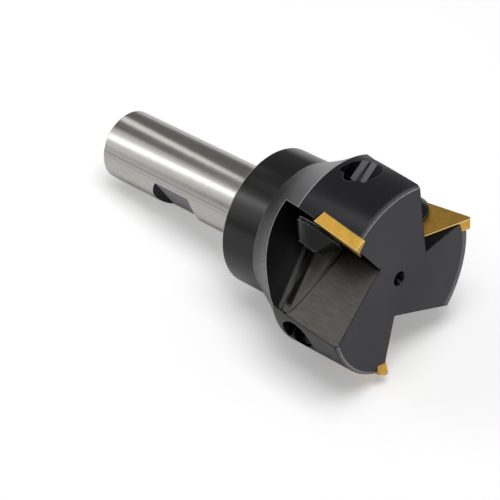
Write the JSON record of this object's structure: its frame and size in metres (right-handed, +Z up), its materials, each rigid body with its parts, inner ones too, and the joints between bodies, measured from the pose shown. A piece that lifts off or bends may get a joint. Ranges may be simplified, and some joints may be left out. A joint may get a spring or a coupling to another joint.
{
  "type": "indexable end mill",
  "caption": "Shouldering end mill with a plain flatted shank, a collar, a flared head with open gullets, and triangular cutting inserts clamped by cone-headed screws.",
  "frame": {"origin": "on the surface that the tool lies on, under the middle of its bounding box", "axes": "+X along the tool towards its cutting end, +Z up, +Y across"},
  "size_m": [0.101, 0.0502, 0.0497],
  "materials": {
    "body_steel": "black oxide on the head and collar, bright ground shank",
    "insert_coating": "thin gold-coloured hard coating, satin",
    "screw_steel": "black oxide, smooth"
  },
  "bodies": {
    "root": {"cutter_body": "body_steel", "insert_1": "insert_coating", "insert_2": "insert_coating", "insert_3": "insert_coating", "clamp_screw_1": "screw_steel", "clamp_screw_2": "screw_steel", "clamp_screw_3": "screw_steel"}
  },
  "joints": []
}
